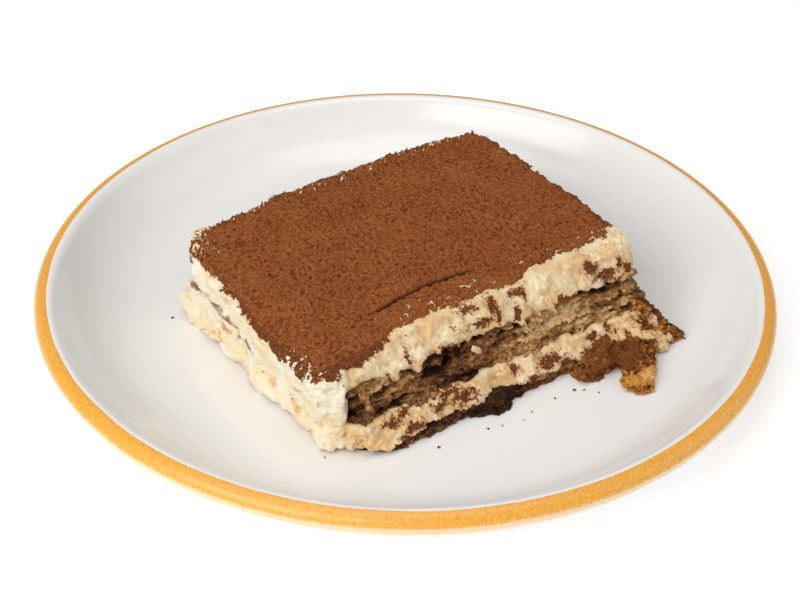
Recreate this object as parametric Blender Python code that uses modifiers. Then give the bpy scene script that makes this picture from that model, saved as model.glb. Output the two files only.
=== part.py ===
"""A portion of tiramisu on its coupe plate.

Metres, +Z up.  The origin is the centre of the plate's foot, on the table.
The long side of the portion lies along X; its cut front face looks to -Y.
"""

import math

import bmesh
import bpy
from mathutils import Vector

MM = 0.001
GAP = 0.3 * MM                   # clearance between neighbouring solids

# Plate: a coupe with a rounded lip and a foot ring.
PLATE_RADIUS = 120 * MM
PLATE_FLOOR_TOP = 7.5 * MM
PLATE_FLOOR_UNDER = 3.2 * MM
PLATE_WELL_RADIUS = 87 * MM
PLATE_LIP_TOP = 24.6 * MM
PLATE_STEPS = 80
FOOT_OUTER, FOOT_INNER = 72.4 * MM, 69.2 * MM

# Portion: plan limits of the slab at its foot and at its top.
SLAB_HEIGHT = 30 * MM
FOOT_LIMITS = {"left": -58.5, "right": 64.0, "front": -57.0, "back": 47.5}
TOP_LIMITS = {"left": -60.0, "right": 62.0, "front": -40.0, "back": 45.0}
CORNER_RADIUS = 8 * MM
SIDE_BOW = 3.0 * MM              # how far the back edge bows out

# Layers, from the plate up: underside and top above the plate's floor.
BASE_SPAN = (0.3, 4.3)
LOWER_CREAM_SPAN = (4.3, 10.4)
UPPER_BISCUIT_SPAN = (10.4, 20.4)
TOP_CREAM_SPAN = (20.4, 29.2)
COCOA_SPAN = (29.2, 30.1)

STATIONS = [-1, -0.95, -0.9, -0.84, -0.55, -0.28, 0, 0.28, 0.55, 0.84, 0.9, 0.95, 1]


def clear_scene():
    for old in list(bpy.data.objects):
        bpy.data.objects.remove(old, do_unlink=True)


def material(name, colour, roughness, metallic=0.0):
    made = bpy.data.materials.new(name)
    made.use_nodes = True
    shader = made.node_tree.nodes["Principled BSDF"]
    shader.inputs["Base Color"].default_value = (*colour, 1)
    shader.inputs["Roughness"].default_value = roughness
    shader.inputs["Metallic"].default_value = metallic
    return made


def blend(low, high, share):
    return low + (high - low) * share


def smooth_step(low, high, value):
    share = min(max((value - low) / (high - low), 0.0), 1.0)
    return share * share * (3 - 2 * share)


# ---------------------------------------------------------------- plate

def bezier(start, lead, trail, end, count):
    """Points along a cubic curve, without its first one."""
    points = []
    for step in range(1, count + 1):
        t = step / count
        weights = ((1 - t) ** 3, 3 * t * (1 - t) ** 2, 3 * t * t * (1 - t), t ** 3)
        points.append(tuple(
            sum(weight * point[axis] for weight, point in zip(weights, (start, lead, trail, end)))
            for axis in range(2)
        ))
    return points


def plate_profile():
    """Half section, from the centre of the well over the lip to the centre below."""
    well = (PLATE_WELL_RADIUS, PLATE_FLOOR_TOP)
    wall = (PLATE_RADIUS - 7.5 * MM, PLATE_LIP_TOP - 1.8 * MM)
    crest = (PLATE_RADIUS - 4 * MM, PLATE_LIP_TOP - 0.1 * MM)
    edge = (PLATE_RADIUS, PLATE_LIP_TOP - 3.8 * MM)
    heel = (FOOT_OUTER + 3 * MM, PLATE_FLOOR_UNDER)
    points = [(0, PLATE_FLOOR_TOP), well]
    points += bezier(well, (99 * MM, PLATE_FLOOR_TOP), (107 * MM, 14.5 * MM), wall, 7)
    points += bezier(wall, (113.8 * MM, 24.2 * MM), (114.8 * MM, 24.6 * MM), crest, 3)
    points += bezier(crest, (118 * MM, 24.2 * MM), (PLATE_RADIUS, 23 * MM), edge, 4)
    points += bezier(edge, (119.8 * MM, 13.5 * MM), (98 * MM, 3.6 * MM), heel, 8)
    points += [
        (FOOT_OUTER + 0.8 * MM, 0.5 * MM),
        (FOOT_OUTER, 0),
        (FOOT_INNER, 0),
        (FOOT_INNER - 0.8 * MM, 0.5 * MM),
        (FOOT_INNER - 3 * MM, PLATE_FLOOR_UNDER),
        (0, PLATE_FLOOR_UNDER),
    ]
    return points


def make_plate():
    mesh = bpy.data.meshes.new("plate")
    points = [(radius, 0, height) for radius, height in plate_profile()]
    mesh.from_pydata(points, [(i, i + 1) for i in range(len(points) - 1)], [])
    plate = bpy.data.objects.new("plate", mesh)
    turned = plate.modifiers.new("turned", "SCREW")
    turned.steps = PLATE_STEPS
    turned.render_steps = PLATE_STEPS
    turned.use_merge_vertices = True
    turned.merge_threshold = 0.00005
    turned.use_smooth_shade = True
    return plate


# ---------------------------------------------------------------- slab

def grid_block(name, x_stations, y_stations, z_stations):
    """A cube from -1 to 1, cut along the given stations."""
    mesh = bpy.data.meshes.new(name)
    block = bmesh.new()
    bmesh.ops.create_cube(block, size=2)
    for axis, stations in enumerate((x_stations, y_stations, z_stations)):
        normal = Vector([float(axis == k) for k in range(3)])
        for station in stations:
            if abs(station) < 1:
                parts = block.verts[:] + block.edges[:] + block.faces[:]
                bmesh.ops.bisect_plane(
                    block, geom=parts, dist=1e-6, plane_co=normal * station, plane_no=normal
                )
    block.to_mesh(mesh)
    block.free()
    return bpy.data.objects.new(name, mesh)


def reshape(piece, place):
    for vertex in piece.data.vertices:
        vertex.co = place(*vertex.co)
    piece.data.update()


def limit(side, height):
    """Plan limit of a side at a height above the plate's floor."""
    return blend(FOOT_LIMITS[side], TOP_LIMITS[side], height / SLAB_HEIGHT) * MM


def corner_bite(v, height):
    """How much the low front right corner stands back for the fallen biscuit end."""
    along = smooth_step(0.35, 0.8, -v)
    return 7 * MM * along * (1 - smooth_step(9 * MM, 15 * MM, height))


def plan(u, v, height, wave=0.0, inset=0.0):
    """A point of the slab's plan: u and v from -1 to 1, height above the floor."""
    left, right = limit("left", height), limit("right", height) - corner_bite(v, height)
    front, back = limit("front", height), limit("back", height)
    half = Vector(((right - left) / 2, (back - front) / 2))
    middle = Vector(((right + left) / 2, (back + front) / 2))
    half_wave = wave * 0.7 * MM * (math.sin(5.1 * v + 3 * wave) + math.sin(7.3 * u + 5 * wave)) / 2
    half -= Vector((inset - half_wave, inset - half_wave))
    point = Vector((u * half.x, v * half.y))
    core = Vector((half.x - CORNER_RADIUS, half.y - CORNER_RADIUS))
    over = Vector((max(abs(point.x) - core.x, 0), max(abs(point.y) - core.y, 0)))
    if over.x > 0 and over.y > 0:
        over *= max(over.x, over.y) / over.length
        point.x = math.copysign(core.x + over.x, point.x)
        point.y = math.copysign(core.y + over.y, point.y)
    point.y += SIDE_BOW * (1 - u * u) * (v > 0) * v
    return point + middle


def interface(u, v, level):
    """Height of the boundary between two layers, gently uneven."""
    if level <= BASE_SPAN[0]:
        return level * MM
    wave = 0.4 * math.sin(4.1 * u + level) * math.cos(3.3 * v + 2 * level)
    dome = 1.5 * (1 - u * u) * (1 - v * v) - 1.0 * (u ** 6 + v ** 6) / 2
    droop = 0.8 * smooth_step(0.2, 1, -u) * smooth_step(0.2, 1, -v)
    top_share = smooth_step(LOWER_CREAM_SPAN[1], COCOA_SPAN[0], level)
    return (level + wave + top_share * (dome - droop)) * MM


def make_layer(name, span, wave, inset):
    """One layer right through the slab, its edges rounded over."""
    low, high = span
    layer = grid_block(name, STATIONS, STATIONS, [-0.6, 0, 0.6])
    rounding = 0.12 * (high - low) * MM
    lift = GAP if low > BASE_SPAN[0] else 0

    def place(u, v, w):
        under, over = interface(u, v, low) + lift, interface(u, v, high)
        height = blend(under, over, (w + 1) / 2)
        x, y = plan(u, v, height, wave, inset * MM + rounding * abs(w) ** 4)
        return x, y, PLATE_FLOOR_TOP + height

    reshape(layer, place)
    return layer


def add_bump(piece, centre, radius, reach):
    """Push the front of a layer out around one spot."""
    for vertex in piece.data.vertices:
        share = math.exp(-((vertex.co.x - centre) / radius) ** 2)
        front = smooth_step(0, 40 * MM, -vertex.co.y - 15 * MM)
        vertex.co.y -= reach * share * front


# ---------------------------------------------------------------- lumps on the sides

def rim_point(path, height, offset):
    """A point on the slab's side.  path runs from 0 at the back of the left side
    to 2 at the front left corner, 4 at the front right one and 6 at the back."""
    def at(distance):
        if distance < 2:
            return plan(-1, 1 - distance, height)
        if distance < 4:
            return plan(distance - 3, -1, height)
        return plan(1, distance - 5, height)

    here = at(path)
    along = at(path + 0.02) - at(path - 0.02)
    outward = Vector((along.y, -along.x)).normalized()
    return here + outward * offset


def make_lump(name, path, span, thickness, stations):
    """A solid against the slab's side; thickness(share, rise) in millimetres."""
    count = stations
    steps = [-1 + 2 * i / count for i in range(count + 1)]
    lump = grid_block(name, [-0.3, 0.4], steps, [-0.8, -0.4, 0, 0.4, 0.8])

    def place(u, v, w):
        share, rise = (v + 1) / 2, (w + 1) / 2
        height = blend(span[0], span[1], rise) * MM
        depth = (u + 1) / 2 * thickness(share, rise) * MM
        x, y = rim_point(blend(path[0], path[1], share), height, 1.2 * GAP + SKIN + depth)
        return x, y, PLATE_FLOOR_TOP + height

    reshape(lump, place)
    return lump


SKIN = 0.9 * MM                  # room for the waves of the layers' sides


def coat_thickness(share, rise):
    ends = math.sin(math.pi * min(max(share, 0.03), 0.97)) ** 0.25
    swell = 1 + 0.35 * math.sin(9 * share + 1) * (1 - rise)
    return 2.0 * ends * swell * (1 - 0.35 * rise ** 4)


def end_thickness(share, rise):
    across = math.sin(math.pi * (0.1 + 0.8 * share)) ** 0.5
    return (1.5 + 10.5 * (1 - rise) ** 0.9) * across


def heel_thickness(share, rise):
    across = math.sin(math.pi * (0.06 + 0.88 * share ** 0.85)) ** 0.9
    profile = math.sqrt(1 - (0.15 + 0.82 * rise) ** 2)
    return 1.2 + 18.5 * across * profile


# ---------------------------------------------------------------- build

def main():
    clear_scene()
    parts = bpy.data.collections.new("tiramisu_portion")
    bpy.context.scene.collection.children.link(parts)

    glaze = material("plate_glaze", (0.82, 0.79, 0.76), 0.12)
    cream = material("mascarpone_cream", (0.80, 0.69, 0.50), 0.45)
    sponge = material("soaked_biscuit", (0.16, 0.08, 0.04), 0.7)
    crust = material("dry_biscuit", (0.45, 0.24, 0.09), 0.75)
    cocoa = material("cocoa_powder", (0.26, 0.08, 0.03), 0.95)

    base = make_layer("biscuit_base", BASE_SPAN, 0.5, 0.0)
    add_bump(base, -4 * MM, 6 * MM, 3.5 * MM)
    pieces = [
        (make_plate(), glaze),
        (base, sponge),
        (make_layer("cream_lower", LOWER_CREAM_SPAN, 0.9, 0.3), cream),
        (make_layer("biscuit_upper", UPPER_BISCUIT_SPAN, 0.6, 1.2), sponge),
        (make_layer("cream_top", TOP_CREAM_SPAN, 0.8, 0.0), cream),
        (make_layer("cocoa_layer", COCOA_SPAN, 0.8, 0.4), cocoa),
        (make_lump("cream_coat", (0.25, 2.14), (0.5, 26), coat_thickness, 14), cream),
        (make_lump("biscuit_end", (3.97, 4.42), (0.3, 12.8), end_thickness, 8), crust),
        (make_lump("biscuit_heel", (3.46, 3.9), (0.3, 8.2), heel_thickness, 8), crust),
    ]
    for piece, finish in pieces:
        piece.data.materials.append(finish)
        piece.data.shade_smooth()
        parts.objects.link(piece)


main()
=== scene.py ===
"""Looks of a tiramisu portion on its coupe plate: cream, soaked biscuit, cocoa, glaze and crumbs."""

import math

import bpy
import bmesh
from mathutils import Matrix, Vector, noise


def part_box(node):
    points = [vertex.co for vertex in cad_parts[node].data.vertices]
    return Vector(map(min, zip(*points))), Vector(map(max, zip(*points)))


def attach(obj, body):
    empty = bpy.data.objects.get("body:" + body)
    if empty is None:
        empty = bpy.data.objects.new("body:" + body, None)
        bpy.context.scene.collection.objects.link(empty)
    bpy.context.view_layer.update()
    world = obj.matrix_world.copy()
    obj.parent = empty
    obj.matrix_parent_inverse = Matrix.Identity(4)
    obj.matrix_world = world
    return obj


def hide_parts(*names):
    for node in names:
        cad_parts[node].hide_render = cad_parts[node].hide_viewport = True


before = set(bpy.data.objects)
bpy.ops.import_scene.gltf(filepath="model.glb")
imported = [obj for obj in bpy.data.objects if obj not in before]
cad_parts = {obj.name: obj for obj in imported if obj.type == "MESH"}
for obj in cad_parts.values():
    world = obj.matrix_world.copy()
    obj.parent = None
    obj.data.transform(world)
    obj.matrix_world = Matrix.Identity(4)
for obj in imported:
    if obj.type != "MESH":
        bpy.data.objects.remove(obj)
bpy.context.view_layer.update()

MM = 0.001
PLATE_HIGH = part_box("plate")[1]
PLATE_RADIUS = PLATE_HIGH.x / MM
SOLID_GAP = 0.3                   # between the plate's floor and the food, in millimetres
FLOOR_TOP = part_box("biscuit_base")[0].z / MM - SOLID_GAP

VOXEL = 0.46                      # fineness of the cream and the biscuit, in millimetres
COCOA_VOXEL = 0.53
FLATTEN = 0.03                    # how readily flat stretches are made of fewer faces

# ------------------------------------------------------------------ graphs


def srgb(red, green, blue):
    """A colour as seen, 0 to 255, made linear."""
    linear = [
        c / 12.92 if c <= 0.04045 else ((c + 0.055) / 1.055) ** 2.4
        for c in (red / 255, green / 255, blue / 255)
    ]
    return (*linear, 1.0)


class Wire:
    """An output socket; arithmetic on it adds Math nodes."""

    def __init__(self, graph, socket):
        self.graph, self.socket = graph, socket

    def math(self, operation, *others):
        return self.graph.add("ShaderNodeMath", {"operation": operation}, [self, *others])

    def __add__(self, other):
        return self.math("ADD", other)

    __radd__ = __add__

    def __sub__(self, other):
        return self.math("SUBTRACT", other)

    def __rsub__(self, other):
        return self.graph.add("ShaderNodeMath", {"operation": "SUBTRACT"}, [other, self])

    def __mul__(self, other):
        return self.math("MULTIPLY", other)

    __rmul__ = __mul__

    def __truediv__(self, other):
        return self.math("DIVIDE", other)

    def __pow__(self, other):
        return self.math("POWER", other)

    def __neg__(self):
        return self.math("MULTIPLY", -1.0)

    def __abs__(self):
        return self.math("ABSOLUTE")

    def low(self, other):
        return self.math("MINIMUM", other)

    def high(self, other):
        return self.math("MAXIMUM", other)

    def union(self, other, softness):
        """The nearer of two solids' distances, blended where they meet."""
        return self.math("SMOOTH_MIN", other, softness)

    def cut(self, other, softness):
        """What two solids share, its edge rounded."""
        return self.math("SMOOTH_MAX", other, softness)

    def step(self, start, end):
        """0 before start, 1 after end, smooth between."""
        return self.graph.add(
            "ShaderNodeMapRange",
            {"interpolation_type": "SMOOTHSTEP"},
            {"Value": self, "From Min": start, "From Max": end},
        )


class Graph:
    """A node tree being written."""

    def __init__(self, tree):
        self.tree = tree

    def add(self, kind, settings=None, inputs=(), output=0):
        node = self.tree.nodes.new(kind)
        for name, value in (settings or {}).items():
            if name == "stops":
                write_stops(node.color_ramp, value)
            else:
                setattr(node, name, value)
        named = inputs.items() if isinstance(inputs, dict) else enumerate(inputs)
        for key, value in named:
            if isinstance(value, Wire):
                self.tree.links.new(value.socket, node.inputs[key])
            elif value is not None:
                node.inputs[key].default_value = value
        return Wire(self, node.outputs[output])

    def split(self, vector):
        node = self.add("ShaderNodeSeparateXYZ", None, [vector]).socket.node
        return [Wire(self, out) for out in node.outputs]

    def join(self, x, y, z):
        return self.add("ShaderNodeCombineXYZ", None, [x, y, z])

    def vector(self, operation, *inputs, output=0):
        return self.add("ShaderNodeVectorMath", {"operation": operation}, inputs, output)

    def place(self, point, size=(1, 1, 1), shift=(0, 0, 0)):
        """The point's coordinates times size, plus shift."""
        return self.vector("MULTIPLY_ADD", point, size, shift)

    def noise(self, point, scale, detail=2.0, rough=0.5, size=(1, 1, 1), shift=(0, 0, 0)):
        """Smooth noise around 0, mostly within 0.25 either way."""
        if size != (1, 1, 1) or shift != (0, 0, 0):
            point = self.place(point, size, shift)
        inputs = {"Vector": point, "Scale": scale, "Detail": detail, "Roughness": rough}
        return self.add("ShaderNodeTexNoise", None, inputs) - 0.5

    def cells(self, point, scale, feature="F1", output=0, jitter=1.0, size=(1, 1, 1)):
        """Distance to the nearest of scattered points, in cell sizes."""
        if size != (1, 1, 1):
            point = self.place(point, size)
        inputs = {"Vector": point, "Scale": scale, "Randomness": jitter}
        return self.add("ShaderNodeTexVoronoi", {"feature": feature}, inputs, output)

    def mix(self, share, first, second):
        """A colour between two, by share."""
        inputs = {0: share, 6: first, 7: second}
        return self.add("ShaderNodeMix", {"data_type": "RGBA"}, inputs, 2)

    def ramp(self, share, stops):
        return self.add("ShaderNodeValToRGB", {"stops": stops}, [share])


def write_stops(ramp, stops):
    while len(ramp.elements) < len(stops):
        ramp.elements.new(0.5)
    for element, (position, colour) in zip(ramp.elements, stops):
        element.position = position
        element.color = colour


class Builder(Graph):
    """A Geometry Nodes tree that ends as one plain mesh in metres."""

    def __init__(self, name):
        super().__init__(bpy.data.node_groups.new(name, "GeometryNodeTree"))
        self.name = name
        self.values = {}
        self.entry = self.tree.nodes.new("NodeGroupInput")

    def input(self, label, value):
        """A named input of the tree, with the value that the modifier gives it."""
        kinds = {float: "NodeSocketFloat", int: "NodeSocketInt", tuple: "NodeSocketVector"}
        kind = kinds.get(type(value), "NodeSocketObject")
        socket = self.tree.interface.new_socket(label, in_out="INPUT", socket_type=kind)
        self.values[socket.identifier] = value
        found = next(s for s in self.entry.outputs if s.identifier == socket.identifier)
        return Wire(self, found)

    def solid(self, low, high, voxel, field, softness=0.0):
        """Mesh of the region where field(point, x, y, z) is negative; all in millimetres."""
        corner_low, corner_high = self.input("Low corner", low), self.input("High corner", high)
        size = self.input("Voxel", voxel)
        counts = self.split(
            self.vector("DIVIDE", self.vector("SUBTRACT", corner_high, corner_low),
                        self.join(size, size, size))
        )
        point = self.add("GeometryNodeInputPosition")
        distance = field(point, *self.split(point))
        volume = self.add("GeometryNodeVolumeCube", None, {
            "Density": -distance, "Background": -1.0, "Min": corner_low, "Max": corner_high,
            "Resolution X": counts[0], "Resolution Y": counts[1], "Resolution Z": counts[2],
        })
        adapt = self.input("Adaptivity", softness)
        return self.add(
            "GeometryNodeVolumeToMesh", None,
            {"Volume": volume, "Threshold": 0.0, "Adaptivity": adapt},
        )

    def store(self, geometry, name, value):
        """Keeps a number on each point, for the material and the scatter."""
        return self.add(
            "GeometryNodeStoreNamedAttribute", {"data_type": "FLOAT", "domain": "POINT"},
            {"Geometry": geometry, "Name": name, "Value": value},
        )

    def finish(self, geometry, material, lift=0.0, scale=MM):
        """Sets the size and the material, and turns the result into a plain mesh."""
        geometry = self.add("GeometryNodeRealizeInstances", None, [geometry])
        geometry = self.add("GeometryNodeTransform", None, {
            "Geometry": geometry, "Scale": (scale, scale, scale), "Translation": (0, 0, lift),
        })
        geometry = self.add("GeometryNodeSetShadeSmooth", None, {"Geometry": geometry})
        geometry = self.add("GeometryNodeSetMaterial", None,
                            {"Geometry": geometry, "Material": material})
        self.tree.interface.new_socket(
            "Geometry", in_out="OUTPUT", socket_type="NodeSocketGeometry")
        leave = self.tree.nodes.new("NodeGroupOutput")
        self.tree.links.new(geometry.socket, leave.inputs[0])
        holder = bpy.data.objects.new(self.name, bpy.data.meshes.new(self.name))
        bpy.context.scene.collection.objects.link(holder)
        modifier = holder.modifiers.new("shape", "NODES")
        modifier.node_group = self.tree
        for identifier, value in self.values.items():
            modifier[identifier] = value
        seen = holder.evaluated_get(bpy.context.evaluated_depsgraph_get())
        mesh = bpy.data.meshes.new_from_object(seen)
        holder.modifiers.remove(modifier)
        holder.data = mesh
        return holder


def settle(piece, slot, *nodes):
    """Puts a finished piece on the frame, in place of CAD nodes."""
    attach(piece, "root")
    if nodes:
        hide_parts(*nodes)
    return piece


# ------------------------------------------------------------------ materials


def new_material(name):
    """An empty material's graph and its Principled shader."""
    made = bpy.data.materials.new(name)
    made.use_nodes = True
    graph = Graph(made.node_tree)
    return made, graph, made.node_tree.nodes["Principled BSDF"]


def feed(graph, shader, **wires):
    labels = {"colour": "Base Color", "roughness": "Roughness", "normal": "Normal"}
    for key, value in wires.items():
        socket = shader.inputs[labels[key]]
        if isinstance(value, Wire):
            graph.tree.links.new(value.socket, socket)
        else:
            socket.default_value = value


def bump(graph, height, strength, distance):
    return graph.add("ShaderNodeBump", None,
                     {"Strength": strength, "Distance": distance, "Height": height})


def object_point(graph):
    """Object coordinates in millimetres."""
    point = graph.add("ShaderNodeTexCoord", None, (), 3)
    return graph.vector("SCALE", point, None, None, 1 / MM)


def kept(graph, name):
    """The number that a piece's points keep under this name."""
    return graph.add("ShaderNodeAttribute", {"attribute_name": name}, (), 2)


# Painted shade for the cocoa's pits and knife mark.
COCOA_PIT_SHADE = srgb(52, 24, 9)
COCOA_DARK = srgb(84, 42, 17)
COCOA_MID = srgb(176, 99, 50)
COCOA_LIGHT = srgb(208, 128, 74)
DUST_DARK, DUST_LIGHT = srgb(48, 20, 7), srgb(156, 86, 40)
CREAM_PALE, CREAM, CREAM_WARM = srgb(253, 243, 220), srgb(249, 230, 192), srgb(240, 203, 148)
# Coffee stain colour, also used for painted shade in hollows.
COFFEE_STAIN_AND_SHADE = srgb(208, 144, 68)
# Painted shade, partly coffee soaking, for the cream's recesses.
SOAKED_AND_SHADED = srgb(104, 62, 26)
DUST_HALO = srgb(206, 140, 66)
CREAM_SMEAR = srgb(234, 206, 156)
# Painted shade for the sponge's hollows and recesses.
SPONGE_HOLLOW_SHADE = srgb(26, 11, 4)
GLAZE_WHITE = srgb(240, 238, 235)
WORN_GOLD = srgb(236, 214, 176)


def cocoa_colour(graph, point):
    """Dry powder: fine light and dark specks over broad, faint patches, with painted light and shade:
    lighter on the raised clumps, darker between them.
    """
    fine = graph.noise(point, 1.3, 3.0, 0.7)
    broad = graph.noise(point, 0.09, 2.0)
    share = fine * 1.8 + broad * 0.4 + kept(graph, "tone") * 0.2 + 0.56
    return graph.ramp(share, [(0.12, COCOA_DARK), (0.45, COCOA_MID), (0.9, COCOA_LIGHT)])


def dusted(graph, point, colour, halo):
    """The colour with cocoa over it where the piece keeps dust, in specks towards its edges."""
    speck = graph.noise(point, 0.9, 5.0, 0.85)
    share = kept(graph, "dust") + speck * 1.9
    colour = graph.mix(share.step(0.2, 0.55) * 0.5, colour, halo)
    cover = share.step(0.46, 0.6)
    fine = graph.noise(point, 1.7, 3.0, 0.8)
    powder = graph.ramp(fine * 1.8 + 0.5, [(0.2, DUST_DARK), (0.8, DUST_LIGHT)])
    return graph.mix(cover, colour, powder), cover


def cocoa_material():
    made, graph, shader = new_material("cocoa_powder")
    point = object_point(graph)
    # Painted shade: the pits between clumps and the knife mark are darkened almost to black.
    colour = graph.mix(kept(graph, "pit"), cocoa_colour(graph, point), COCOA_PIT_SHADE)
    relief = graph.noise(point, 0.95, 4.0, 0.7)
    feed(graph, shader, colour=colour, roughness=0.95, normal=bump(graph, relief, 1.0, 0.0026))
    shader.inputs["Specular IOR Level"].default_value = 0.12
    return made


def cream_material():
    made, graph, shader = new_material("mascarpone_cream")
    point = object_point(graph)
    # Painted shade: the cream turns warmer and darker where the points keep this number: the top layer's
    # front face, the smear's front corner, and all of the lower layer.
    broad = graph.noise(point, 0.12, 3.0) * 2 + 0.5 + kept(graph, "warm") * 0.5
    colour = graph.ramp(broad, [(0.1, CREAM_PALE), (0.5, CREAM), (0.95, CREAM_WARM)])
    tan = graph.noise(point, 0.45, 3.0, 0.65, (1, 1, 1), (3, 5, 7)).step(0.06, 0.3)
    # Coffee stain, plus painted shade in the hollows of the torn cream and at the smear's front corner.
    colour = graph.mix(tan * 0.12 + kept(graph, "stain") * 0.8, colour, COFFEE_STAIN_AND_SHADE)
    # Painted shade, partly coffee soaking: darker deep in recesses and hollows.
    colour = graph.mix(kept(graph, "deep"), colour, SOAKED_AND_SHADED)
    colour, cover = dusted(graph, point, colour, DUST_HALO)
    relief = graph.noise(point, 0.9, 4.0, 0.65) + graph.noise(point, 3.0, 2.0) * 0.4
    feed(graph, shader, colour=colour, roughness=cover * 0.45 + 0.45,
         normal=bump(graph, relief, 0.6, 0.001))
    shader.inputs["Subsurface Weight"].default_value = 0.15
    shader.inputs["Subsurface Radius"].default_value = (1.0, 0.55, 0.25)
    shader.inputs["Subsurface Scale"].default_value = 0.002
    shader.inputs["Specular IOR Level"].default_value = 0.25
    return made


def biscuit_material(name, dark, mid, light, pale):
    made, graph, shader = new_material(name)
    point = object_point(graph)
    grain = graph.noise(point, 0.6, 5.0, 0.75, (0.6, 1, 1.2))
    broad = graph.noise(point, 0.1, 2.0, 0.5, (0.6, 1, 1.6))
    # Coffee soaking darkens the sponge, with painted shade mixed in: hollows darker, ridges lighter.
    share = grain * 2.0 + broad * 1.7 + 0.5 - kept(graph, "soak") * 0.6
    colour = graph.ramp(share, [(0.08, dark), (0.36, mid), (0.64, light), (0.9, pale)])
    colour = graph.mix(kept(graph, "smear"), colour, CREAM_SMEAR)
    # Painted shade: the sponge's hollows and recesses are nearly black.
    colour = graph.mix(kept(graph, "deep"), colour, SPONGE_HOLLOW_SHADE)
    colour = dusted(graph, point, colour, mid)[0]
    relief = graph.noise(point, 1.0, 5.0, 0.75)
    feed(graph, shader, colour=colour, roughness=0.75, normal=bump(graph, relief, 0.9, 0.0012))
    shader.inputs["Specular IOR Level"].default_value = 0.2
    return made


def glaze_material():
    """White glaze, with the rim's gold band set by the distance from the centre."""
    made, graph, shader = new_material("plate_glaze")
    point = object_point(graph)
    x, y, z = graph.split(point)
    radius = (x * x + y * y) ** 0.5
    waver = graph.noise(point, 0.05, 1.0) * 0.5
    fleck = graph.noise(point, 1.2, 3.0, 0.7)
    upper = z.step(FLOOR_TOP + 8, FLOOR_TOP + 9)
    inner = (radius + waver).step(BAND_INNER - 0.12, BAND_INNER + 0.12)
    band = inner * upper
    drop = PLATE_LIP_TOP - z + waver
    pale = (drop + fleck * 1.2).step(3.0, 3.6) * radius.step(BAND_INNER + 2, BAND_INNER + 3)
    bare = (drop + fleck * 3.0).step(5.4, 7.0) * radius.step(BAND_INNER + 2, BAND_INNER + 3)
    gold = graph.ramp(fleck * 1.6 + 0.5, [
        (0.2, srgb(222, 150, 44)), (0.55, srgb(240, 172, 66)), (0.9, srgb(248, 190, 96)),
    ])
    gold = graph.mix(pale * 0.8, gold, WORN_GOLD)
    colour = graph.mix(band * (1 - bare), GLAZE_WHITE, gold)
    feed(graph, shader, colour=colour, roughness=band * 0.15 + 0.2)
    shader.inputs["Coat Weight"].default_value = 0.2
    shader.inputs["Coat Roughness"].default_value = 0.12
    return made


# ------------------------------------------------------------------ plate

WELL_RADIUS = 87.0
FOOT_OUTER, FOOT_INNER = 72.4, 69.2
UNDERSIDE = 3.2
PLATE_LIP_TOP = PLATE_HIGH.z / MM
BAND_INNER = PLATE_RADIUS - 4.2
PLATE_STEPS = 256


def bezier(start, lead, trail, end, count):
    """Points along a cubic curve, without its first one."""
    points = []
    for step in range(1, count + 1):
        t = step / count
        weights = ((1 - t) ** 3, 3 * t * (1 - t) ** 2, 3 * t * t * (1 - t), t ** 3)
        corners = (start, lead, trail, end)
        points.append(tuple(sum(w * c[axis] for w, c in zip(weights, corners)) for axis in (0, 1)))
    return points


def plate_section():
    """Half section in millimetres, from the well's centre over the lip to the centre below."""
    well = (WELL_RADIUS, FLOOR_TOP)
    wall = (PLATE_RADIUS - 7.5, PLATE_LIP_TOP - 1.8)
    crest = (PLATE_RADIUS - 4, PLATE_LIP_TOP - 0.1)
    edge = (PLATE_RADIUS, PLATE_LIP_TOP - 3.8)
    heel = (FOOT_OUTER + 3, UNDERSIDE)
    points = [(WELL_RADIUS * k / 6, FLOOR_TOP) for k in range(6)] + [well]
    points += bezier(well, (99, FLOOR_TOP), (107, 14.5), wall, 20)
    points += bezier(wall, (113.8, 24.2), (114.8, 24.6), crest, 8)
    points += bezier(crest, (118, 24.2), (PLATE_RADIUS, 23), edge, 12)
    points += bezier(edge, (119.8, 13.5), (98, 3.6), heel, 20)
    points += bezier(heel, (FOOT_OUTER + 1, UNDERSIDE), (FOOT_OUTER + 1, 0), (FOOT_OUTER, 0), 5)
    points += bezier((FOOT_OUTER, 0), (FOOT_OUTER - 1, -0.001), (FOOT_INNER + 1, -0.001),
                     (FOOT_INNER, 0), 3)
    points += bezier((FOOT_INNER, 0), (FOOT_INNER - 1, 0), (FOOT_INNER - 1, UNDERSIDE),
                     (FOOT_INNER - 3, UNDERSIDE), 5)
    points += [(FOOT_INNER * k / 5, UNDERSIDE) for k in range(4, -1, -1)]
    return points


def make_plate():
    mesh = bpy.data.meshes.new("plate_body")
    turned = bmesh.new()
    line = [turned.verts.new((r * MM, 0, max(h, 0) * MM)) for r, h in plate_section()]
    edges = [turned.edges.new(pair) for pair in zip(line, line[1:])]
    bmesh.ops.spin(turned, geom=line + edges, cent=(0, 0, 0), axis=(0, 0, 1),
                   angle=2 * math.pi, steps=PLATE_STEPS)
    bmesh.ops.remove_doubles(turned, verts=turned.verts, dist=1e-6)
    bmesh.ops.recalc_face_normals(turned, faces=turned.faces)
    turned.to_mesh(mesh)
    turned.free()
    mesh.shade_smooth()
    plate = bpy.data.objects.new("plate_body", mesh)
    bpy.context.scene.collection.objects.link(plate)
    mesh.materials.append(glaze_material())
    return settle(plate, "plate_glaze", "plate")


# ------------------------------------------------------------------ slab shape, in millimetres
# Heights count from the plate's floor, x and y from the plate's centre.

SLAB_HEIGHT = 30.0
LEFT = (-58.5, -60.0)            # at the foot and at the top
LEFT_BULGE = 2.5                  # how much further the top reaches near the front
RIGHT = (64.0, 62.0)
FRONT = (-57.0, -40.0)
BACK = (45.5, 43.0)
BACK_BOW = 5.5
BACK_SKEW = 2.0
CORNER = 8.0
RIM_LEVEL = 29.5                  # height of the top's edge, where the cocoa ends
LEVELS = {"base": 4.2, "lower": 10.4, "upper": 20.5, "top": 29.6}


def between(pair, share):
    return share * (pair[1] - pair[0]) + pair[0]


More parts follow.
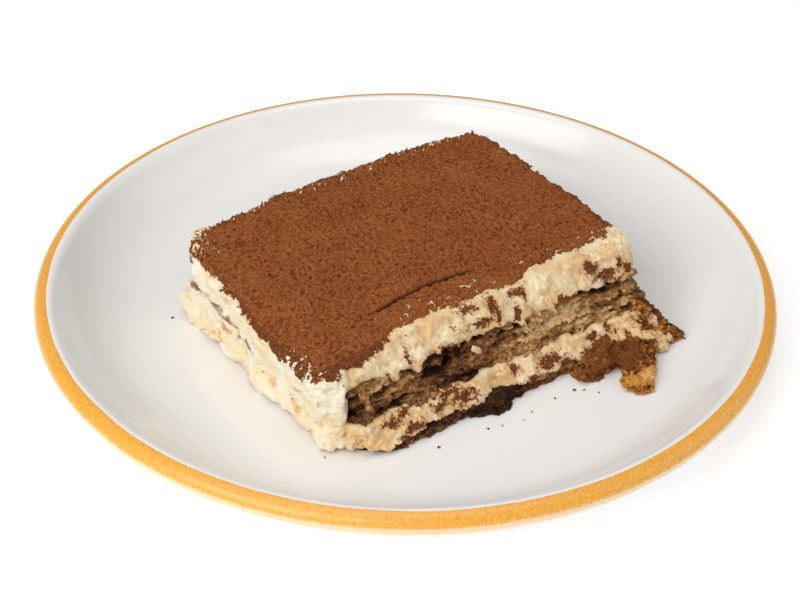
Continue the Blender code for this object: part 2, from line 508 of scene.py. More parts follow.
def slab_side(x, y, z):
    """Distance to the slab's leaning sides, negative inside; its front left foot is snubbed."""
    rise = z / SLAB_HEIGHT
    left = between(LEFT, rise) - (1 - y.step(-20, 15)) * rise * LEFT_BULGE
    right = between(RIGHT, rise)
    half_x, mid_x = (right - left) * 0.5, (right + left) * 0.5
    u = (x - mid_x) / half_x
    bow = (1 - u * u) * BACK_BOW + u * BACK_SKEW
    front, back = between(FRONT, rise), between(BACK, rise) + bow
    half_y, mid_y = (back - front) * 0.5, (back + front) * 0.5
    over_x = abs(x - mid_x) - (half_x - CORNER)
    over_y = abs(y - mid_y) - (half_y - CORNER)
    out_x, out_y = over_x.high(0.0), over_y.high(0.0)
    outside = (out_x * out_x + out_y * out_y) ** 0.5
    sides = outside + over_x.high(over_y).low(0.0) - CORNER
    snub = x * -0.72 - y * 0.69 - rise * 1.6 - 72.0
    return sides.cut(snub, 4.0)


def front_depth(y, z):
    """How far a point lies behind the leaning front face."""
    return y - between(FRONT, z / SLAB_HEIGHT)


CREASE_PLACE = 26.2               # how far the knife mark lies before the centre
CREASE_SWING = 1.4
CREASE_HALF_WIDTH = 0.6
CREASE_DEPTH = 1.7


def crease_line(x, y):
    """1 on the knife mark across the top, 0 beside it."""
    line = y + CREASE_PLACE - (x + 8).math("MULTIPLY", 0.11).math("COSINE") * CREASE_SWING
    span = x.step(-37, -28) * (1 - x.step(4, 9))
    line = line / CREASE_HALF_WIDTH
    return (line * line * -1).math("EXPONENT") * span


def cream_top_form(x, y):
    """The top cream's broad form: domed, its left front shoulder drooping."""
    u, v = (x - 1) / 62, (y + 3) / 50
    uu, vv = u * u, v * v
    dome = (1 - uu) * (1 - vv) * 1.6 - uu * uu * uu * 0.6 - vv * vv * vv * y.step(0, 20) * 1.2
    droop = (-x).step(50, 66) * (1 - y.step(-14, 8)) * 3.2
    sag = (-x).step(30, 60) * (-y).step(28, 44) * 2.2
    return dome - droop.high(sag) + (LEVELS["top"] - 0.4)


def cream_top_height(g, x, y):
    """Height of the top cream's surface, with soft waves and the knife mark."""
    flat = g.join(x, y, 0.0)
    waves = g.noise(flat, 0.05, 1.0) * 2.0 + g.noise(flat, 0.25, 2.0) * 0.5
    return cream_top_form(x, y) + waves - crease_line(x, y) * CREASE_DEPTH


def flecks(g, x, y):
    """0 to 1: cream peaks that break through the cocoa by its corners, back edge and knife mark."""
    region = (-x).step(44, 58) * y.step(18, 34) * 1.15 + (-x).step(54, 61) * (1 - y.step(-30, -14)) * 1.1
    region = region + x.step(38, 56) * (1 - y.step(-36, -22)) * 1.2
    region = region + y.step(37, 43) * 0.8 + crease_line(x, y + 0.9) * 0.3
    peaks = g.noise(g.join(x, y, 0.0), 0.75, 3.0, 0.7, (1, 1, 1), (31, 4, 2))
    return (peaks + region * 0.24).step(0.27, 0.34)


def ellipsoid(x, y, z, centre, radii):
    """Rough distance to an ellipsoid, negative inside."""
    parts = [(value - c) / r for value, c, r in zip((x, y, z), centre, radii)]
    total = parts[0] * parts[0] + parts[1] * parts[1] + parts[2] * parts[2]
    return (total ** 0.5 - 1) * min(radii)


def spot(x, z, centre, radii):
    """Distance in a face's own plane to an oval spot, in its radii: below 1 inside."""
    across, up = (x - centre[0]) / radii[0], (z - centre[1]) / radii[1]
    return (across * across + up * up) ** 0.5


def capsule(x, y, z, start, end, thick):
    """Distance to a rod with round ends."""
    run = [b - a for a, b in zip(start, end)]
    total = sum(r * r for r in run)
    off = [value - a for value, a in zip((x, y, z), start)]
    along = (off[0] * run[0] + off[1] * run[1] + off[2] * run[2]) / total
    along = along.high(0.0).low(1.0)
    gap = [value - along * r for value, r in zip(off, run)]
    return (gap[0] * gap[0] + gap[1] * gap[1] + gap[2] * gap[2]) ** 0.5 - thick


def front_y(z):
    return FRONT[0] + (FRONT[1] - FRONT[0]) * z / SLAB_HEIGHT


def level_waves(g, x, y, side, seed):
    """How far a boundary between two layers wanders; it runs flat inside the slab."""
    near = 1 - (-side).step(5, 9)
    flat = g.join(x, y, 0.0)
    return g.noise(flat, 0.13, 4.0, 0.6, (1, 1, 1), (seed, 9, 0)) * near * 5.0


def cream_relief(g, point, shift):
    """Torn, pulled cream: lumps of 2 to 6 mm under sharp little ridges."""
    lumps = g.noise(point, 0.13, 2.0, 0.5, (1, 1, 1), shift) * 4.5
    pulled = g.vector("ADD", point, g.join(g.split(point)[2] * 0.5, 0.0, 0.0))
    torn = g.noise(pulled, 0.26, 5.0, 0.66, (1, 1, 0.6), shift) * 6.8
    ridges = 0.3 - abs(g.noise(pulled, 0.24, 3.0, 0.6, (1, 1, 0.5), shift)) * 3.4
    return lumps, torn + ridges


def sponge_relief(g, point, shift):
    """Torn sponge: ragged strata with pits of 0.5 to 2 mm."""
    strata = g.noise(point, 0.5, 2.0, 0.6, (0.14, 0.3, 1.0), shift) * 6.5
    torn = g.noise(point, 0.33, 5.0, 0.7, (0.7, 0.9, 1.25), shift) * 6.5
    cell = g.cells(point, 0.75, "F1", 0, 1.0, (0.8, 1, 1.15))
    return strata + torn + 0.5 - cell * cell * 2.2


STRANDS = [  # cream pulled down over the biscuit: x and height of both ends, thickness
    ((9.5, 21.5), (15.5, 15.6), 0.3), ((-37.0, 20.6), (-36.2, 18.8), 1.2),
    ((-30.0, 21.4), (-28.0, 19.2), 1.1), ((-7.2, 18.0), (-5.2, 17.0), 1.0),
    ((24.0, 20.5), (25.5, 18.4), 0.5),
]

SPOTS = [  # cocoa dragged over the front: x, height, half width, half height
    (3.0, 27.6, 1.6, 2.6), (-1.0, 24.0, 4.8, 1.2), (4.0, 24.5, 1.5, 1.5), (12.5, 28.4, 3.0, 1.0),
    (15.5, 26.8, 0.8, 1.6), (42.5, 26.4, 2.2, 2.2), (47.0, 23.2, 4.2, 1.4), (53.5, 24.8, 1.4, 1.9),
    (57.0, 21.8, 1.5, 1.6), (11.5, 22.4, 1.2, 2.0), (31.0, 21.0, 4.0, 0.8), (-17.0, 21.4, 3.4, 1.0),
    (-30.5, 23.0, 1.0, 2.2), (61.0, 18.5, 1.6, 1.6), (-6.0, 29.0, 3.5, 1.0), (28.0, 22.4, 1.2, 0.8),
    (-42.0, 8.8, 2.8, 1.5), (-37.0, 9.9, 2.4, 0.9), (-35.0, 5.6, 3.6, 1.3), (-38.6, 3.4, 2.0, 0.8),
    (-24.0, 8.0, 3.2, 1.8), (-15.5, 7.4, 4.2, 2.3), (-20.0, 10.2, 4.0, 1.0), (4.8, 8.6, 1.6, 1.5),
    (18.0, 7.0, 4.4, 1.7), (23.0, 5.2, 2.6, 1.0), (10.0, 4.4, 4.0, 0.9), (35.5, 8.8, 2.8, 1.0),
    (42.6, 9.0, 1.2, 1.4), (-30.0, 10.6, 4.0, 0.8), (52.0, 5.0, 3.0, 1.0),
]


def cream_dust(g, point, x, y, z):
    """Where cocoa lies on the cream: draped over the top's edge, and in spots on the front."""
    nearest = None
    for across, up, half_width, half_height in SPOTS:
        here = spot(x, z, (across, up), (half_width, half_height))
        nearest = here if nearest is None else nearest.low(here)
    wander = g.noise(point, 0.4, 4.0, 0.75) * 3.4
    front = (1 - (nearest + wander).step(0.2, 2.2)) * (1 - front_depth(y, z).step(6.0, 9.0))
    shoulder = (1 - y.step(-36, -26)) * (x.step(-40, -28) * 3.6 + x.step(16, 24) * 2.5)
    tongues = g.noise(g.join(x, y, z), 0.3, 5.0, 0.8, (1, 1, 1), (5, 6, 0)) * 9.0
    below = cream_top_height(g, x, y) - z - 0.9 + shoulder - tongues
    edge = (1 - below.step(-1.5, 1.8)) * (1 - flecks(g, x, y)) * 1.5
    faint = g.noise(point, 0.15, 2.0, 0.5, (1, 1, 1), (8, 1, 6)).step(-0.05, 0.25) * 0.28
    return (front * 0.78).high(edge).high(faint)


def make_cream_top(material):
    g = Builder("cream_top_layer")

    def field(point, x, y, z):
        side = slab_side(x, y, z)
        lumps, torn = cream_relief(g, point, (0, 0, 0))
        top = z - cream_top_height(g, x, y) - flecks(g, x, y) * 1.3 - g.noise(point, 0.7, 2.0) * 0.6
        hang = g.noise(g.join(x, y, 0.0), 0.2, 3.0, 0.6, (1, 0.3, 1), (41, 3, 0)).step(0.05, 0.3)
        low = level_waves(g, x, y, side, 5) + LEVELS["upper"] + 0.3 - hang * 2.2 - z
        body = (side - lumps - torn).cut(top, 1.0).cut(low, 0.8)
        for start, end, thick in STRANDS:
            one = (start[0], front_y(start[1]) + 0.4, start[1])
            two = (end[0], front_y(end[1]) + 0.2, end[1])
            body = body.union(capsule(x, y, z, one, two, thick) - torn * thick * 0.8, 0.8)
        return body

    body = g.solid((-66.0, -58.0, 14.0), (68.0, 55.0, 33.0), VOXEL, field, FLATTEN)
    point = g.add("GeometryNodeInputPosition")
    x, y, z = g.split(point)
    lumps, torn = cream_relief(g, point, (0, 0, 0))
    under = 1 - (z - LEVELS["upper"]).step(0.0, 3.2)
    inside = (-slab_side(x, y, z) + lumps).step(1.6, 5.0) * (1 - z.step(24, 26))
    patch = ellipsoid(x, y, z, (-60, 36, 21), (7, 3.4, 4.6)) - torn * 0.5
    body = g.store(body, "dust", cream_dust(g, point, x, y, z))
    # Painted shade, partly soaking: darker where the cream lies well inside the slab's sides, and in the
    # gap the smear leaves at the back left corner.
    body = g.store(body, "deep", inside.high((1 - patch.step(-0.5, 1.0)) * 0.85))
    # The coffee stain near the biscuit below is real; the torn hollows get painted shade.
    body = g.store(body, "stain", under * 0.4 + (-torn).step(0.0, 1.8) * 0.85)
    # Painted shade: the cream within a few millimetres of the front face is warmer and darker.
    body = g.store(body, "warm", (-front_depth(y, z)).step(-9, -4) * 0.5)
    body = g.store(body, "loose", cream_dust(g, point, x, y, z).step(0.12, 0.45))
    return settle(g.finish(body, material, FLOOR_TOP * MM), "mascarpone_cream", "cream_top")


def cocoa_grain(g, x, y):
    """Clumps of powder, about a millimetre wide, with narrow pits between them."""
    flat = g.join(x, y, 0.0)
    clumps = g.noise(flat, 0.76, 2.0, 0.6) * 4.2
    return clumps - g.noise(flat, 0.7, 2.0, 0.5, (1, 1, 1), (5, 5, 5)).step(0.06, 0.18) * 0.9


def make_cocoa(material):
    g = Builder("cocoa_top")

    def field(point, x, y, z):
        flat = g.join(x, y, 0.0)
        surface = cream_top_height(g, x, y)
        inside = -slab_side(x, y, x * 0 + RIM_LEVEL)
        by_front = 1 - y.step(-35, -24)
        margin = by_front * (x.step(-38, -26) * 1.8 + x.step(16, 23) * 2.6)
        margin = margin - (-x).step(50, 56) * 0.3 - x.step(4, 8) * (1 - x.step(14, 17)) * by_front
        ragged = g.noise(flat, 0.16, 2.0, 0.6, (1, 1, 1), (6, 2, 0)) * 5.0
        ragged = ragged + g.noise(flat, 0.45, 4.0, 0.8, (1, 1, 1), (3, 3, 0)) * 5.0
        cover = (inside - margin - 0.6 + ragged - flecks(g, x, y) * 6).step(-0.3, 0.5)
        grain = cocoa_grain(g, x, y) + g.noise(point, 1.4, 2.0) * 0.5
        top = surface + cover * 5.0 - 4.5 + grain * (cover * 0.7 + 0.3)
        return (z - top).high(cream_top_form(x, y) - 2.0 - z).high(-inside - 1.2)

    body = g.solid((-64.0, -46.0, 21.0), (66.0, 53.0, 33.0), COCOA_VOXEL, field, FLATTEN * 2)
    x, y, z = g.split(g.add("GeometryNodeInputPosition"))
    tone = cocoa_grain(g, x, y)
    # Painted shade in the narrow pits between clumps and in the knife mark.
    pit = (-tone).step(0.7, 1.7) * 0.75
    body = g.store(body, "pit", pit.high(crease_line(x, y - 0.2) * 0.9))
    # Painted light and shade: the clumps' height, lighter on top of them and darker between.
    body = g.store(body, "tone", tone)
    return settle(g.finish(body, material, FLOOR_TOP * MM), "cocoa_powder", "cocoa_layer")


HOLES = [  # hollows torn in the upper biscuit's front: x, height, half width, half height, depth
    (-4.0, 19.6, 3.0, 1.5, 9.0), (-53.0, 17.0, 4.5, 1.4, 7.0), (-54.0, 12.6, 3.5, 1.0, 6.0),
    (-23.0, 15.5, 5.5, 2.0, 5.5), (-13.0, 19.3, 4.5, 1.1, 4.5), (12.0, 18.2, 4.5, 1.2, 5.5),
    (6.0, 18.2, 3.0, 0.8, 5.0), (41.0, 20.0, 6.0, 0.9, 6.0), (49.0, 18.4, 9.0, 0.9, 7.5),
    (-36.0, 12.2, 9.0, 0.7, 4.5), (-42.0, 16.2, 7.0, 0.9, 4.5), (-31.0, 19.0, 3.5, 1.3, 3.5),
    (30.0, 14.2, 9.0, 0.6, 3.0), (-12.0, 11.6, 9.0, 0.7, 4.0), (60.0, 16.4, 4.0, 0.8, 8.0),
    (-17.0, 16.0, 3.0, 2.0, 8.0),
]
FLAP = ((-49.5, -47.5, 20.0), (-48.6, -51.0, 14.6))   # scrap of dry biscuit hanging at the left


def make_biscuit_upper(material):
    g = Builder("biscuit_upper_layer")

    def field(point, x, y, z):
        bent = g.noise(point, 0.22, 2.0) * 3.5
        side = slab_side(x, y, z)
        relief = sponge_relief(g, point, (7, 7, 7))
        recess = 1.0 + (-x).step(50, 56) * 1.6
        skin = side + recess - relief
        depth = front_depth(y, z)
        for across, up, half_width, half_height, reach in HOLES:
            oval = spot(x, z + bent, (across, up), (half_width, half_height))
            wall = (oval - 1) * min(half_width, half_height)
            skin = skin.high(-wall.high(depth - reach))
        high = z - (level_waves(g, x, y, side, 5) + LEVELS["upper"] + 0.8)
        low = level_waves(g, x, y, side, 15) + LEVELS["lower"] - 0.4 - z
        scrap = capsule(x, y, z, *FLAP, 1.1) - relief * 0.35
        return skin.union(scrap, 1.0).cut(high, 0.8).cut(low, 0.8)

    body = g.solid((-63.0, -58.0, 7.5), (67.0, 53.0, 23.5), VOXEL, field, FLATTEN)
    point = g.add("GeometryNodeInputPosition")
    x, y, z = g.split(point)
    relief = sponge_relief(g, point, (7, 7, 7))
    hollow = (-relief).step(0.8, 3.0) * 0.7
    inside = (-slab_side(x, y, z)).step(2.6, 5.5) * 0.92
    # Painted shade: a band round x = -20 made darker.
    dark = (x + 20) / 9
    dark = (dark * dark * -1).math("EXPONENT") * 0.5
    # Painted shade: the sponge's hollows, and the parts well inside the slab's sides, are almost black.
    body = g.store(body, "deep", hollow.high(inside))
    scrap = 1 - capsule(x, y, z, *FLAP, 1.1).step(0.0, 1.2)
    # The left half's soaking and the dry scrap are real colour; the dark band and the relief term
    # (hollows darker, ridges lighter) are painted shade.
    soak = (1 - x.step(-14, 24)) * 0.3 - 0.16 + dark - relief * 0.12 - scrap * 0.15
    body = g.store(body, "soak", soak)
    powder = g.noise(point, 0.2, 3.0, 0.5, (1, 1, 1), (3, 3, 3)).step(0.02, 0.2) * 0.5
    body = g.store(body, "dust", powder)
    rim = (1 - z.step(11.0, 13.5)).high(z.step(17.5, 20.0))
    smear = g.noise(point, 0.16, 4.0, 0.7, (0.7, 1, 1.3), (21, 2, 8)) + rim * 0.07
    body = g.store(body, "smear", (smear - scrap).step(0.17, 0.28) * 0.65)
    return settle(g.finish(body, material, FLOOR_TOP * MM), "soaked_biscuit", "biscuit_upper")


HANGING = [  # cream that slumped down at the right, down to the plate: both ends, thickness
    ((50.0, -53.0, 8.0), (57.0, -61.5, 1.5), 2.2), ((56.5, -51.5, 9.5), (59.5, -59.5, 2.0), 2.0),
    ((45.0, -54.5, 7.5), (54.0, -60.0, 5.0), 1.6),
]


def make_cream_lower(material):
    g = Builder("cream_lower_layer")

    def field(point, x, y, z):
        side = slab_side(x, y, z)
        lumps, torn = cream_relief(g, point, (9, 2, 5))
        high = z - (level_waves(g, x, y, side, 15) + LEVELS["lower"] + 0.2)
        spill = (1 - x.step(-52, -28)) * 2.8
        low = level_waves(g, x, y, side, 25) + LEVELS["base"] - 0.3 - spill - z
        body = (side - 0.3 - lumps - torn).cut(high, 1.2).cut(low, 0.9)
        for start, end, thick in HANGING:
            body = body.union(capsule(x, y, z, start, end, thick) - torn * 1.3, 2.5)
        return body

    body = g.solid((-64.0, -67.0, 0.2), (68.0, 54.0, 13.0), VOXEL, field, FLATTEN)
    point = g.add("GeometryNodeInputPosition")
    x, y, z = g.split(point)
    lumps, torn = cream_relief(g, point, (9, 2, 5))
    right = x.step(46, 54)
    body = g.store(body, "dust", cream_dust(g, point, x, y, z).high(right * 0.36))
    # Painted shade, partly soaking: darker where the cream lies well inside the slab's sides.
    body = g.store(body, "deep", (-slab_side(x, y, z)).step(1.8, 5.0))
    # Painted shade in the torn hollows, over a faint even stain.
    body = g.store(body, "stain", (-torn).step(0.0, 1.8) * 0.95 + 0.12)
    # Warmer and darker all over.
    body = g.store(body, "warm", 0.65)
    body = g.store(body, "loose", cream_dust(g, point, x, y, z).step(0.12, 0.45))
    return settle(g.finish(body, material, FLOOR_TOP * MM), "mascarpone_cream", "cream_lower")


def make_biscuit_base(material):
    g = Builder("biscuit_base_layer")

    def field(point, x, y, z):
        chunk = (x + 5) / 6
        chunk = (chunk * chunk * -1).math("EXPONENT") * 4.0 * (1 - y.step(-50, -40))
        side = slab_side(x, y, z)
        relief = sponge_relief(g, point, (1, 8, 4)) * 0.75
        recess = 1.2 + (-x).step(50, 56) * 1.4
        spill = (1 - x.step(-52, -28)) * 2.6
        rise = (chunk * 0.5).low(1.8)
        high = z - (level_waves(g, x, y, side, 25) + LEVELS["base"] - 0.1 - spill + rise)
        return (side + recess - chunk - relief).cut(high, 0.8).cut(0.05 - z, 0.8)

    body = g.solid((-63.0, -66.0, -0.6), (67.0, 54.0, 8.0), VOXEL, field, FLATTEN)
    point = g.add("GeometryNodeInputPosition")
    x, y, z = g.split(point)
    relief = sponge_relief(g, point, (1, 8, 4))
    chunk = (x + 5) / 7
    wet = (chunk * chunk * -1).math("EXPONENT") * 0.5
    # Painted shade, partly soaking, in the sponge's hollows.
    body = g.store(body, "deep", (-relief).step(0.0, 2.2) * 0.6)
    # The wet chunk is real soaking; the relief term is painted shade, with hollows darker and ridges
    # lighter.
    body = g.store(body, "soak", wet + 0.42 - relief * 0.06)
    body = g.store(body, "dust", wet * 0.6)
    return settle(g.finish(body, material, FLOOR_TOP * MM), "soaked_biscuit", "biscuit_base")


NICKS = [  # gaps in the smeared cream: centre, radii
    ((-60.0, 18.0, 17.0), (6, 2.6, 0.9)), ((-60.0, 6.5, 14.6), (6, 1.9, 1.0)),
    ((-60.0, 24.5, 17.6), (6, 2.4, 0.8)), ((-61.0, -31.0, 16.2), (3, 1.8, 0.6)),
    ((-61.0, 36.0, 21.0), (7, 3.4, 4.6)),
]


def seam(g, point, y, z):
    """Distance to the long split between the smear's upper part and its bulging foot."""
    middle = z - 13.5 - (y + 6) * 0.1 - g.noise(point, 0.09, 2.0) * 6
    span = y.step(-14, -4) * (1 - y.step(32, 38))
    return abs(middle) + 2.9 - span * 2.7 - g.noise(point, 0.2, 2.0, 0.5, (1, 1, 1), (7, 3, 1)) * 6


def make_cream_coat(material):
    """Cream smeared down the left face, up to the front left corner."""
    g = Builder("cream_smear")

    def relief(point):
        bent = g.vector("ADD", point, g.join(0.0, g.split(point)[2] * 0.6, 0.0))
        folds = g.noise(bent, 0.26, 5.0, 0.64, (1, 0.55, 1.15), (4, 4, 4)) * 4.6
        ridges = 0.3 - abs(g.noise(bent, 0.3, 3.0, 0.6, (1, 0.6, 0.9), (2, 9, 1))) * 3.4
        return folds + ridges

    def field(point, x, y, z):
        side = slab_side(x, y, z)
        lumps = g.noise(point, 0.1, 2.0, 0.5, (1, 1, 0.8), (4, 4, 4)) * 5.0
        lobes = (1 - z.step(3.0, 10.0)) * (g.noise(point, 0.11, 1.0, 0.5, (1, 1, 0.3)) * 7 + 1.0)
        skin = relief(point)
        outer = side - 1.3 - skin - lumps - lobes
        coat = outer.high(-side - 3.4)
        around = x + 56.5 - (y + 50).step(0, 9) * 6 - g.noise(point, 0.25, 3.0) * 5.0
        coat = coat.cut(around, 3.0)
        coat = coat.cut(y - 37 - g.noise(point, 0.2, 2.0) * 8, 1.2)
        flap = ellipsoid(x, y, z, (-57.5, 38.0, 5.5), (4.0, 7.0, 3.6))
        coat = coat.union(flap - skin * 0.6, 2.5)
        for centre, radii in NICKS:
            gap = ellipsoid(x, y, z, centre, radii) - skin * 0.25
            coat = coat.cut(-gap, 0.5)
        coat = coat.cut(-seam(g, point, y, z), 0.6)
        high = z - 26.5 + g.noise(point, 0.2, 2.0) * 5
        low = 1.2 - z - g.noise(point, 0.14, 3.0, 0.6, (1, 1, 0)) * 8.0
        return coat.cut(high, 2.0).cut(low, 1.0)

    body = g.solid((-68.0, -62.0, -0.5), (-46.0, 47.0, 30.0), VOXEL, field, FLATTEN)
    point = g.add("GeometryNodeInputPosition")
    x, y, z = g.split(point)
    amber = ellipsoid(x, y, z, (-61, 14, 11), (5, 2.2, 2.2)) - relief(point) * 0.8
    body = g.store(body, "dust", cream_dust(g, point, x, y, z))
    hollow = -relief(point)
    split = 1 - seam(g, point, y, z).step(0.1, 1.4)
    # Painted shade in the folds' hollows and along the split above the smear's foot.
    body = g.store(body, "deep", (hollow.step(1.2, 2.8) * 0.4).high(split * 0.8))
    amber = 1 - amber.step(-0.3, 0.5)
    # The amber spot is a real stain; the folds' hollows and the front corner get painted shade.
    corner_shade = (1 - y.step(-54, -42)) * 0.15
    body = g.store(body, "stain", amber.high(hollow.step(0.2, 2.2) * 0.5 + corner_shade))
    # Painted shade: the smear's front corner is warmer and darker, and the rest is paler.
    body = g.store(body, "warm", (1 - y.step(-54, -42)) * 0.5 - 0.4)
    body = g.store(body, "loose", cream_dust(g, point, x, y, z).step(0.12, 0.45))
    return settle(g.finish(body, material, FLOOR_TOP * MM), "mascarpone_cream", "cream_coat")


def make_biscuit_end(material):
    """Broken biscuit end, slumped against the right end of the slab."""
    g = Builder("biscuit_fallen_end")

    def field(point, x, y, z):
        slope = x * 0.786 + z * 0.618 - 54.2
        front = -y - 61.0 + z * 0.5 + (x - 60).high(0.0) * -0.25
        back = y + 32 + z * 0.3
        wedge = slope.cut(front, 1.5).cut(back, 2.0).cut(54.5 - x, 1.0).cut(z - 13.6, 1.2)
        cave = ellipsoid(x, y, z, (59.0, -57.5, 9.0), (3.0, 4.0, 2.6))
        relief = sponge_relief(g, point, (2, 2, 9)) * 0.62
        return (wedge - relief).cut(-cave, 0.8).cut(-z + 0.05, 0.8)

    body = g.solid((48.0, -67.0, -0.5), (75.0, -27.0, 17.0), VOXEL, field, 0.0)
    point = g.add("GeometryNodeInputPosition")
    x, y, z = g.split(point)
    relief = sponge_relief(g, point, (2, 2, 9))
    crust = (x * 0.786 + z * 0.618 + relief * 0.4).step(52.6, 54.0)
    cave = ellipsoid(x, y, z, (59.0, -57.5, 9.0), (3.6, 4.6, 3.2))
    # Painted shade in the sponge's hollows and in the cave under the end.
    body = g.store(body, "deep", (-relief).step(0.5, 2.6) * 0.55 + (1 - cave.step(-1, 0.6)) * 0.6)
    # The crust is real colour; the relief term is painted shade, with hollows darker and ridges lighter.
    body = g.store(body, "soak", crust * 0.5 - relief * 0.12 + 0.3)
    body = g.store(body, "dust", crust * 0.3)
    return settle(g.finish(body, material, FLOOR_TOP * MM), "dry_biscuit", "biscuit_end")


def make_biscuit_heel(material):
    """Golden biscuit heel that sticks out under the slab's front."""
    g = Builder("biscuit_golden_heel")

    def crown(x, y):
        return (y + 57) * 0.2 + 6.6 - (1 - x.step(28, 40)) * 2.2

    def field(point, x, y, z):
        level = 2.0
        plan = capsule(x, y, level, (39.5, -72.0, 2.0), (49.0, -60.0, 2.0), 5.2)
        plan = plan.union(capsule(x, y, level, (29.0, -58.5, 2.0), (53.0, -56.0, 2.0), 4.2), 2.0)
        plan = plan.union(capsule(x, y, level, (28.0, -60.0, 2.0), (30.0, -60.5, 2.0), 2.8), 1.0)
        relief = sponge_relief(g, point, (5, 1, 3)) * 0.62
        top = z - crown(x, y)
        return (plan - relief * 1.3).cut(top - relief * 1.3, 1.2).cut(-z + 0.05, 0.8)

    body = g.solid((18.0, -82.0, -0.5), (62.0, -46.0, 12.0), VOXEL, field, 0.0)
    point = g.add("GeometryNodeInputPosition")
    x, y, z = g.split(point)
    relief = sponge_relief(g, point, (5, 1, 3))
    below = crown(x, y) - z + g.noise(point, 0.25, 3.0) * 6
    top = (1 - below.step(2.2, 4.6)) * (y + g.noise(point, 0.2, 2.0) * 12).step(-72, -64)
    left = 1 - (x + g.noise(point, 0.3, 2.0) * 8).step(31, 36)
    # Painted shade in the sponge's hollows.
    body = g.store(body, "deep", (-relief).step(0.4, 2.4) * 0.7)
    # The dark top and left are real colour; the relief term is painted shade, with hollows darker and
    # ridges lighter.
    body = g.store(body, "soak", top.high(left) * 0.85 - relief * 0.12 - 0.1)
    body = g.store(body, "dust", top.high(left) * 0.5)
    return settle(g.finish(body, material, FLOOR_TOP * MM), "dry_biscuit", "biscuit_heel")


def scatter(name, hosts, density, sizes, material, lift, seed):
    """Loose bits on the hosts' skin, more of them where the points' "loose" number is high."""
    g = Builder(name)
    joined = g.tree.nodes.new("GeometryNodeJoinGeometry")
    for host in hosts:
        skin = g.add("GeometryNodeObjectInfo", None, [g.input(host.name, host)], "Geometry")
        g.tree.links.new(skin.socket, joined.inputs[0])
    loose = g.add("GeometryNodeInputNamedAttribute", {"data_type": "FLOAT"}, ["loose"])
    spread = g.tree.nodes.new("GeometryNodeDistributePointsOnFaces")
    g.tree.links.new(joined.outputs[0], spread.inputs["Mesh"])
    g.tree.links.new((loose * g.input("Bits per square metre", density)).socket,
                     spread.inputs["Density"])
    spread.inputs["Seed"].default_value = seed
    lump = g.add("GeometryNodeMeshIcoSphere", None, {"Radius": 1.0, "Subdivisions": 1})
    point = g.add("GeometryNodeInputPosition")
    push = g.vector("SCALE", point, None, None, g.noise(point, 1.3, 2.0) * 1.6 + 0.9)
    lump = g.add("GeometryNodeSetPosition", None, {"Geometry": lump, "Position": push})
    turn = g.add("FunctionNodeRandomValue", {"data_type": "FLOAT_VECTOR"},
                 {0: (0, 0, 0), 1: (6.28, 6.28, 6.28), "Seed": seed + 1})
    size = g.add("FunctionNodeRandomValue", {"data_type": "FLOAT"},
                 {2: sizes[0] * MM, 3: sizes[1] * MM, "Seed": seed + 2}, 1)
    bits = g.add("GeometryNodeInstanceOnPoints", None, {
        "Points": Wire(g, spread.outputs["Points"]), "Instance": lump, "Rotation": turn,
        "Scale": size,
    })
    bits = g.add("GeometryNodeTransform", None, {"Geometry": bits, "Translation": (0, 0, lift)})
    return g.finish(bits, material, 0.0, 1.0)


CRUMBS = [  # crumbs on the plate: x, y, size
    (-30.8, -61.5, 0.9), (-13.0, -62.8, 0.7), (-8.6, -64.0, 0.6), (20.9, -62.8, 1.0),
    (23.4, -64.4, 0.7), (13.3, -62.6, 0.7), (-62.0, -46.0, 0.6), (-64.5, 41.4, 0.8),
    (3.2, -63.8, 0.6), (66.5, -66.0, 0.6), (26.6, -68.0, 0.6), (-1.5, -65.5, 0.5),
]


def make_crumbs(material):
    """The few crumbs lying on the plate's floor, each a rough lump."""
    mesh = bpy.data.meshes.new("plate_crumbs")
    heap = bmesh.new()
    for number, (x, y, size) in enumerate(CRUMBS):
        made = bmesh.ops.create_icosphere(heap, subdivisions=2, radius=size * MM / 2)
        for vert in made["verts"]:
            push = 1 + 0.9 * noise.noise(vert.co / MM * 2.2 / size + Vector((number * 7.1, 0, 0)))
            vert.co = vert.co * push
            vert.co.z = max(vert.co.z * 0.7, -size * MM * 0.25)
            vert.co += Vector((x * MM, y * MM, (FLOOR_TOP + size * 0.27) * MM))
    heap.to_mesh(mesh)
    heap.free()
    mesh.materials.append(material)
    crumbs = bpy.data.objects.new("plate_crumbs", mesh)
    bpy.context.scene.collection.objects.link(crumbs)
    return settle(crumbs, "soaked_biscuit")


# ------------------------------------------------------------------ studio


def make_camera():
    """A 90 mm lens from the front left, 36 degrees up, with the horizon turned a little."""
    azimuth, rise, roll = math.radians(-35.57), math.radians(35.73), math.radians(0.91)
    distance = 667.6 * MM
    back = Vector((math.sin(azimuth) * math.cos(rise), -math.cos(azimuth) * math.cos(rise),
                   math.sin(rise)))
    right = Vector((math.cos(azimuth), math.sin(azimuth), 0))
    up = back.cross(right)
    turned_right = right * math.cos(roll) + up * math.sin(roll)
    turned_up = up * math.cos(roll) - right * math.sin(roll)
    away = Vector((-math.sin(azimuth), math.cos(azimuth), 0))
    target = (right * -1.79 + away * 8.33) * MM + Vector((0, 0, FLOOR_TOP * MM))
    data = bpy.data.cameras.new("camera")
    data.lens, data.sensor_width = 90, 36
    data.clip_start, data.clip_end = 0.01, 20
    camera = bpy.data.objects.new("camera", data)
    place = target + back * distance
    camera.matrix_world = Matrix((
        (turned_right.x, turned_up.x, back.x, place.x),
        (turned_right.y, turned_up.y, back.y, place.y),
        (turned_right.z, turned_up.z, back.z, place.z),
        (0, 0, 0, 1),
    ))
    bpy.context.scene.collection.objects.link(camera)
    bpy.context.scene.camera = camera


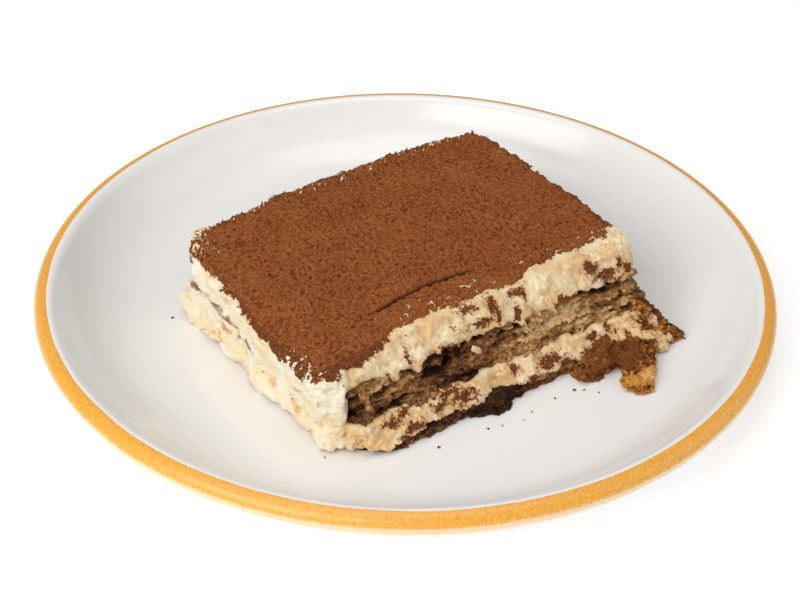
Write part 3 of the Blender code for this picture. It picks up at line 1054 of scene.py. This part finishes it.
def area_light(name, place, aim, size, power, colour=(1, 1, 1)):
    data = bpy.data.lights.new(name, "AREA")
    data.shape, data.size, data.size_y = "RECTANGLE", size[0], size[1]
    data.energy, data.color = power, colour
    light = bpy.data.objects.new(name, data)
    light.location = place
    light.rotation_euler = (Vector(aim) - Vector(place)).to_track_quat("-Z", "Y").to_euler()
    bpy.context.scene.collection.objects.link(light)


def make_studio():
    world = bpy.data.worlds.new("studio")
    world.use_nodes = True
    world.node_tree.nodes["Background"].inputs[0].default_value = (1, 1, 1, 1)
    world.node_tree.nodes["Background"].inputs[1].default_value = 0.22
    bpy.context.scene.world = world
    bpy.context.scene.view_settings.view_transform = "Standard"
    area_light("window", (-1.0, -0.25, 0.8), (0, 0, 0.02), (1.1, 1.0), 13.5)
    area_light("overhead", (0.0, 0.1, 1.1), (0, 0, 0), (0.8, 0.8), 3.6)
    area_light("fill", (0.8, -0.6, 0.55), (0, 0, 0.02), (1.0, 1.0), 2.6)
    floor = bpy.data.meshes.new("floor")
    sheet = bmesh.new()
    bmesh.ops.create_grid(sheet, x_segments=1, y_segments=1, size=4)
    sheet.to_mesh(floor)
    sheet.free()
    made, _, shader = new_material("studio_floor")
    shader.inputs["Base Color"].default_value = srgb(250, 250, 250)
    shader.inputs["Roughness"].default_value = 0.9
    shader.inputs["Emission Color"].default_value = (1, 1, 1, 1)
    shader.inputs["Emission Strength"].default_value = 0.28
    floor.materials.append(made)
    ground = bpy.data.objects.new("floor", floor)
    bpy.context.scene.collection.objects.link(ground)


def main():
    make_camera()
    make_studio()
    make_plate()
    cream = cream_material()
    sponge = biscuit_material("soaked_biscuit", srgb(48, 23, 8), srgb(130, 80, 40),
                              srgb(190, 138, 82), srgb(238, 200, 142))
    crust = biscuit_material("dry_biscuit", srgb(74, 34, 12), srgb(192, 118, 48),
                             srgb(240, 170, 82), srgb(250, 218, 150))
    powder = cocoa_material()
    top = make_cream_top(cream)
    make_cocoa(powder)
    make_biscuit_upper(sponge)
    lower = make_cream_lower(cream)
    make_biscuit_base(sponge)
    coat = make_cream_coat(cream)
    make_biscuit_end(crust)
    make_biscuit_heel(crust)
    make_crumbs(sponge)
    grains = scatter("cocoa_grains", [top, lower, coat], 5e5, (0.15, 0.42), powder, 0.0, 3)
    settle(grains, "cocoa_powder")


main()
